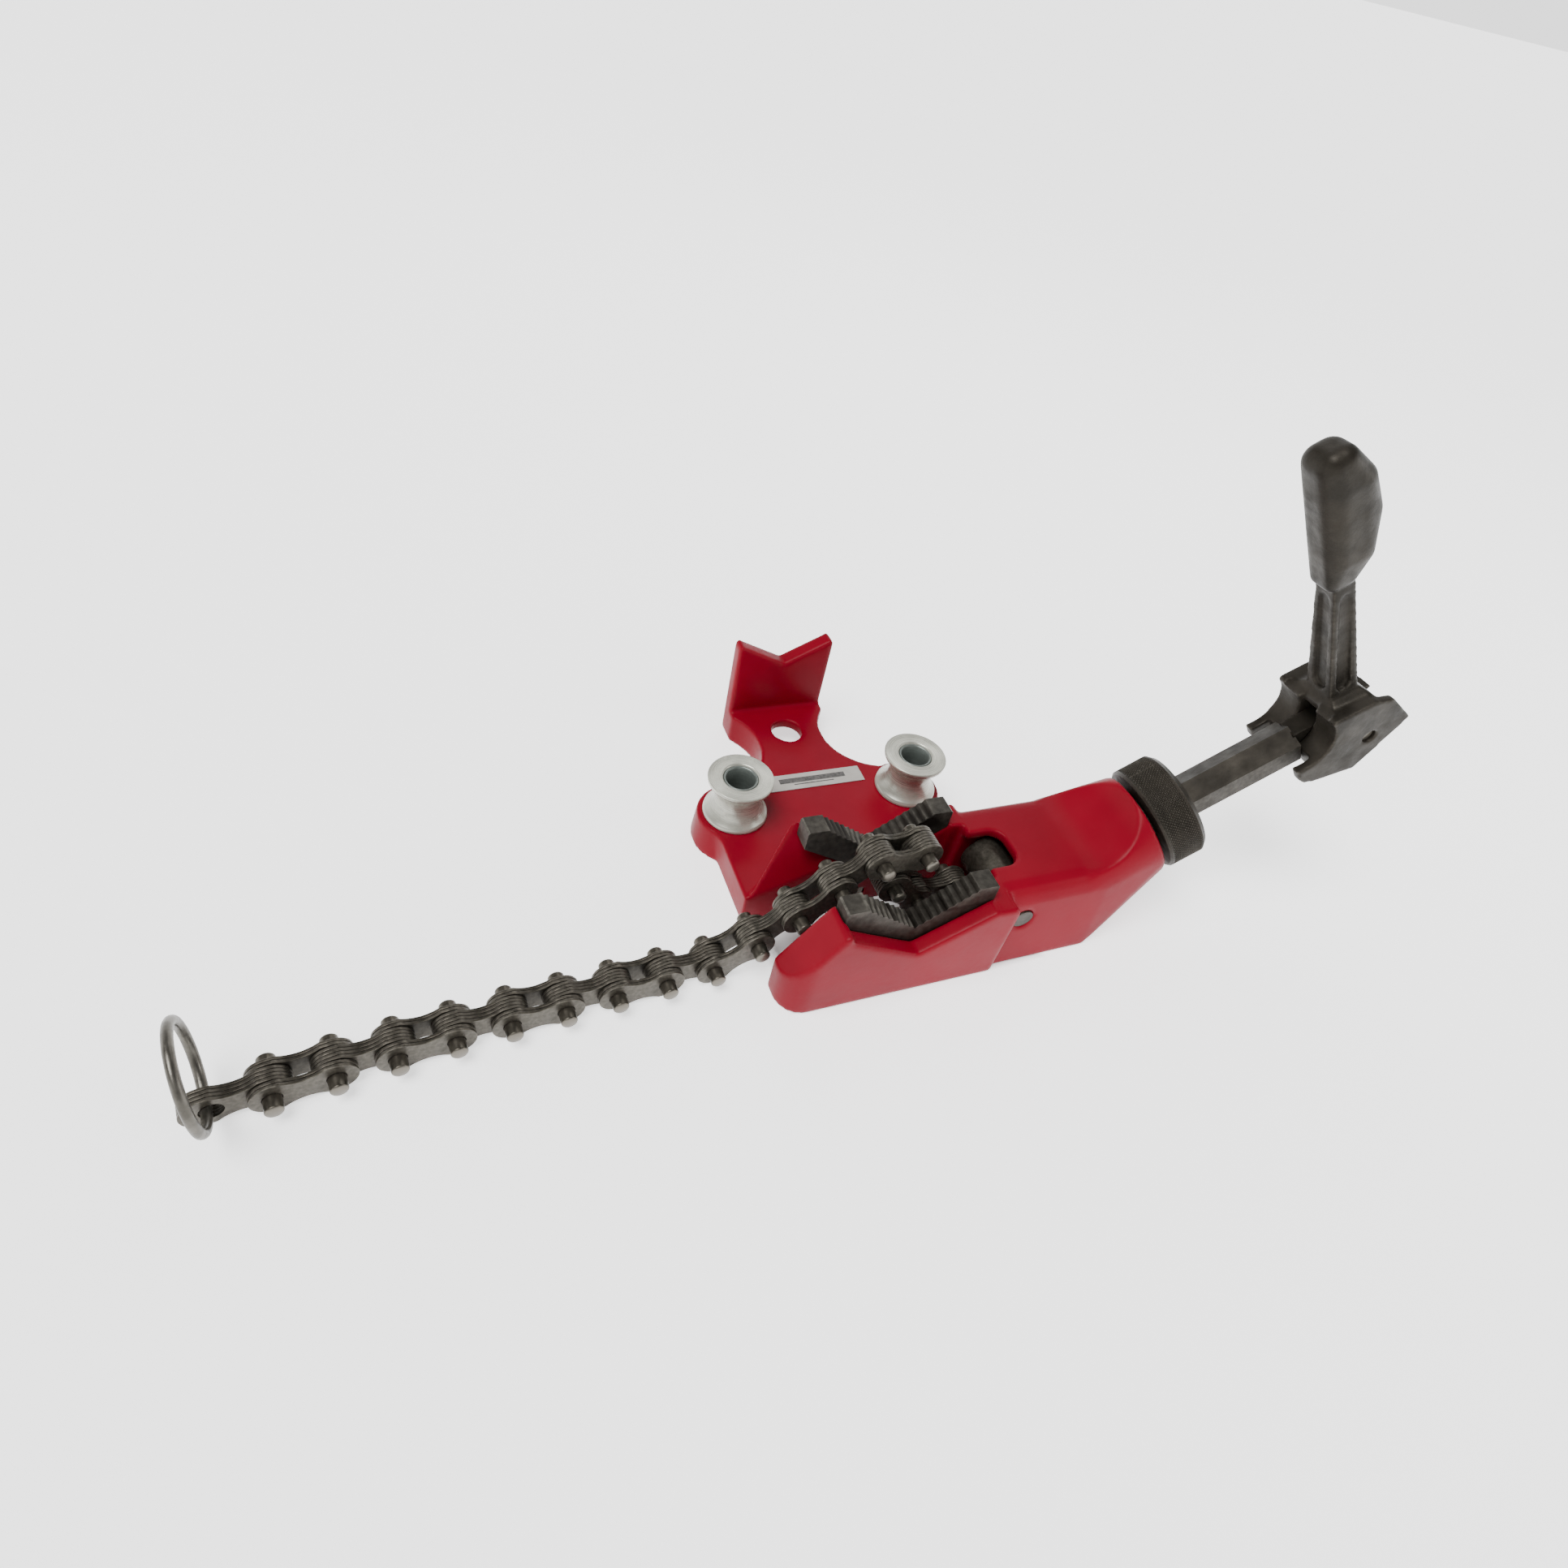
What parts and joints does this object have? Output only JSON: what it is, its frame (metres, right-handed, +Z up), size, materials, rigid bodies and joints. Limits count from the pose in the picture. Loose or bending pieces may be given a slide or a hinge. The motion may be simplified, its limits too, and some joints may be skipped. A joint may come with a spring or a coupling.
{
  "type": "bench chain vise",
  "caption": "Cast bench chain vise for pipe: two toothed V jaws, a leaf chain with a pull ring, an inclined screw with collar and folding crank, grooved bending rollers and a V pipe rest.",
  "frame": {"origin": "on the bench face, midway between the two toothed jaws", "axes": "+X along the chain towards the screw, +Y towards the pipe rest, +Z up from the bench"},
  "size_m": [0.6271, 0.231, 0.2808],
  "materials": {
    "red_casting": "semi-gloss enamel over a sand casting",
    "label": null,
    "jaw_steel": "dark oiled tool steel",
    "fastener_steel": "plain steel",
    "sleeve_steel": "turned steel, slightly oiled",
    "zinc_roller": "turned, bright zinc",
    "dark_iron": "dark oxide on a casting",
    "chain_steel": "oiled steel plate",
    "ring_wire": "drawn wire"
  },
  "bodies": {
    "base": {"base_casting": "red_casting", "label_plate": "label", "front_jaw": "jaw_steel", "rear_jaw": "jaw_steel", "front_jaw_bolt": "fastener_steel", "rear_jaw_bolt": "fastener_steel", "left_sleeve": "sleeve_steel", "right_sleeve": "sleeve_steel", "guide_roller_pin": "fastener_steel", "thrust_washer": "fastener_steel"},
    "left_roller": {"left_bending_roller": "zinc_roller"},
    "right_roller": {"right_bending_roller": "zinc_roller"},
    "guide_roller": {"guide_roller": "sleeve_steel"},
    "nut": {"nut_bar": "dark_iron", "knurled_collar": "dark_iron"},
    "handle": {"crank_handle": "dark_iron", "handle_pin": "fastener_steel"},
    "screw": {"chain_screw": "sleeve_steel", "clevis_pin": "fastener_steel"},
    "ring": {"pull_ring": "ring_wire"},
    "link_00": {"inner_link_00": "chain_steel"},
    "link_01": {"outer_link_01": "chain_steel"},
    "link_02": {"inner_link_02": "chain_steel"},
    "link_03": {"outer_link_03": "chain_steel"},
    "link_04": {"inner_link_04": "chain_steel"},
    "link_05": {"outer_link_05": "chain_steel"},
    "link_06": {"inner_link_06": "chain_steel"},
    "link_07": {"outer_link_07": "chain_steel"},
    "link_08": {"inner_link_08": "chain_steel"},
    "link_09": {"outer_link_09": "chain_steel"},
    "link_10": {"inner_link_10": "chain_steel"},
    "link_11": {"outer_link_11": "chain_steel"},
    "link_12": {"inner_link_12": "chain_steel"},
    "link_13": {"outer_link_13": "chain_steel"},
    "link_14": {"inner_link_14": "chain_steel"},
    "link_15": {"outer_link_15": "chain_steel"},
    "link_16": {"inner_link_16": "chain_steel"},
    "link_17": {"outer_link_17": "chain_steel"},
    "link_18": {"inner_link_18": "chain_steel"}
  },
  "joints": [
    {"name": "left_roller_spin", "type": "hinge", "parent": "base", "child": "left_roller", "pos_m": [-0.056, 0.084, 0.034], "axis": [0, 0, 1], "continuous": true},
    {"name": "right_roller_spin", "type": "hinge", "parent": "base", "child": "right_roller", "pos_m": [0.056, 0.084, 0.034], "axis": [0, 0, 1], "continuous": true},
    {"name": "guide_roller_spin", "type": "hinge", "parent": "base", "child": "guide_roller", "pos_m": [0.068, 0, 0.034], "axis": [0, 1, 0], "continuous": true},
    {"name": "nut_spin", "type": "hinge", "parent": "base", "child": "nut", "pos_m": [0.161, 0, 0.0572], "axis": [-0.848, 0, -0.5299], "range_deg": [0, 1800]},
    {"name": "screw_slide", "type": "slide", "parent": "base", "child": "screw", "axis": [0.848, 0, 0.5299], "range_m": [0, 0.0254]},
    {"name": "handle_fold", "type": "hinge", "parent": "nut", "child": "handle", "pos_m": [0.26955, 0, 0.12503], "axis": [0.0462, 0.9962, -0.0739], "range_deg": [-15, 180]},
    {"name": "pin_19_hinge", "type": "hinge", "parent": "screw", "child": "link_18", "pos_m": [0.08934, 0, 0.01242], "axis": [0, -1, 0], "range_deg": [-1, 27.6]},
    {"name": "pin_18_hinge", "type": "hinge", "parent": "link_18", "child": "link_17", "pos_m": [0.06405, 0, 0.01003], "axis": [0, -1, 0], "range_deg": [-1, 19.2]},
    {"name": "pin_17_hinge", "type": "hinge", "parent": "link_17", "child": "link_16", "pos_m": [0.04442, 0, 0.02615], "axis": [0, -1, 0], "range_deg": [-83.4, 1]},
    {"name": "pin_16_hinge", "type": "hinge", "parent": "link_16", "child": "link_15", "pos_m": [0.01904, 0, 0.02695], "axis": [0, -1, 0], "range_deg": [-1, 15.4]},
    {"name": "pin_15_hinge", "type": "hinge", "parent": "link_15", "child": "link_14", "pos_m": [-0.00007, 0, 0.04368], "axis": [0, -1, 0], "range_deg": [-1, 109.7]},
    {"name": "pin_14_hinge", "type": "hinge", "parent": "link_14", "child": "link_13", "pos_m": [0.01251, 0.0002, 0.06574], "axis": [0.0321, -0.9995, 0], "range_deg": [-91.9, 1]},
    {"name": "pin_13_hinge", "type": "hinge", "parent": "link_13", "child": "link_12", "pos_m": [-0.01287, -0.00061, 0.06513], "axis": [0.0321, -0.9995, 0], "range_deg": [-1, 6.4]},
    {"name": "pin_12_hinge", "type": "hinge", "parent": "link_12", "child": "link_11", "pos_m": [-0.03355, -0.00161, 0.05041], "axis": [0.0642, -0.9979, 0], "range_deg": [-18, 18]},
    {"name": "pin_11_hinge", "type": "hinge", "parent": "link_11", "child": "link_10", "pos_m": [-0.05426, -0.00294, 0.03577], "axis": [0.0642, -0.9979, 0], "range_deg": [-18, 18]},
    {"name": "pin_10_hinge", "type": "hinge", "parent": "link_10", "child": "link_09", "pos_m": [-0.07497, -0.00428, 0.02113], "axis": [0.0642, -0.9979, 0], "range_deg": [-18, 18]},
    {"name": "pin_09_hinge", "type": "hinge", "parent": "link_09", "child": "link_08", "pos_m": [-0.09752, -0.00573, 0.00952], "axis": [0.0642, -0.9979, 0], "range_deg": [-18, 18]},
    {"name": "pin_08_hinge", "type": "hinge", "parent": "link_08", "child": "link_07", "pos_m": [-0.12287, -0.00736, 0.00952], "axis": [0.0642, -0.9979, 0], "range_deg": [-18, 18]},
    {"name": "pin_07_hinge", "type": "hinge", "parent": "link_07", "child": "link_06", "pos_m": [-0.14822, -0.00898, 0.00952], "axis": [0.0642, -0.9979, 0], "range_deg": [-18, 18]},
    {"name": "pin_06_hinge", "type": "hinge", "parent": "link_06", "child": "link_05", "pos_m": [-0.17356, -0.01061, 0.00952], "axis": [0.0642, -0.9979, 0], "range_deg": [-18, 18]},
    {"name": "pin_05_hinge", "type": "hinge", "parent": "link_05", "child": "link_04", "pos_m": [-0.19891, -0.01225, 0.00952], "axis": [0.0642, -0.9979, 0], "range_deg": [-18, 18]},
    {"name": "pin_04_hinge", "type": "hinge", "parent": "link_04", "child": "link_03", "pos_m": [-0.22423, -0.01428, 0.00952], "axis": [0.0962, -0.9954, 0], "range_deg": [-18, 18]},
    {"name": "pin_03_hinge", "type": "hinge", "parent": "link_03", "child": "link_02", "pos_m": [-0.24951, -0.01673, 0.00952], "axis": [0.0962, -0.9954, 0], "range_deg": [-18, 18]},
    {"name": "pin_02_hinge", "type": "hinge", "parent": "link_02", "child": "link_01", "pos_m": [-0.27475, -0.01957, 0.00952], "axis": [0.1281, -0.9918, 0], "range_deg": [-18, 18]},
    {"name": "pin_01_hinge", "type": "hinge", "parent": "link_01", "child": "link_00", "pos_m": [-0.29994, -0.02283, 0.00952], "axis": [0.1281, -0.9918, 0], "range_deg": [-18, 18]},
    {"name": "ring_swing", "type": "hinge", "parent": "link_00", "child": "ring", "pos_m": [-0.32211, -0.02605, 0.00952], "axis": [0.144, -0.9896, 0], "range_deg": [-50, 75]}
  ],
  "couplings": [
    {"joint": "screw_slide", "follows": "nut_spin", "m_per_rad": 0.00080851},
    {"joint": "pin_19_hinge", "follows": "nut_spin", "ratio": 0.014778},
    {"joint": "pin_18_hinge", "follows": "nut_spin", "ratio": 0.010111},
    {"joint": "pin_17_hinge", "follows": "nut_spin", "ratio": -0.045778},
    {"joint": "pin_16_hinge", "follows": "nut_spin", "ratio": 0.008},
    {"joint": "pin_15_hinge", "follows": "nut_spin", "ratio": 0.060389},
    {"joint": "pin_14_hinge", "follows": "nut_spin", "ratio": -0.0505},
    {"joint": "pin_13_hinge", "follows": "nut_spin", "ratio": 0.003}
  ]
}
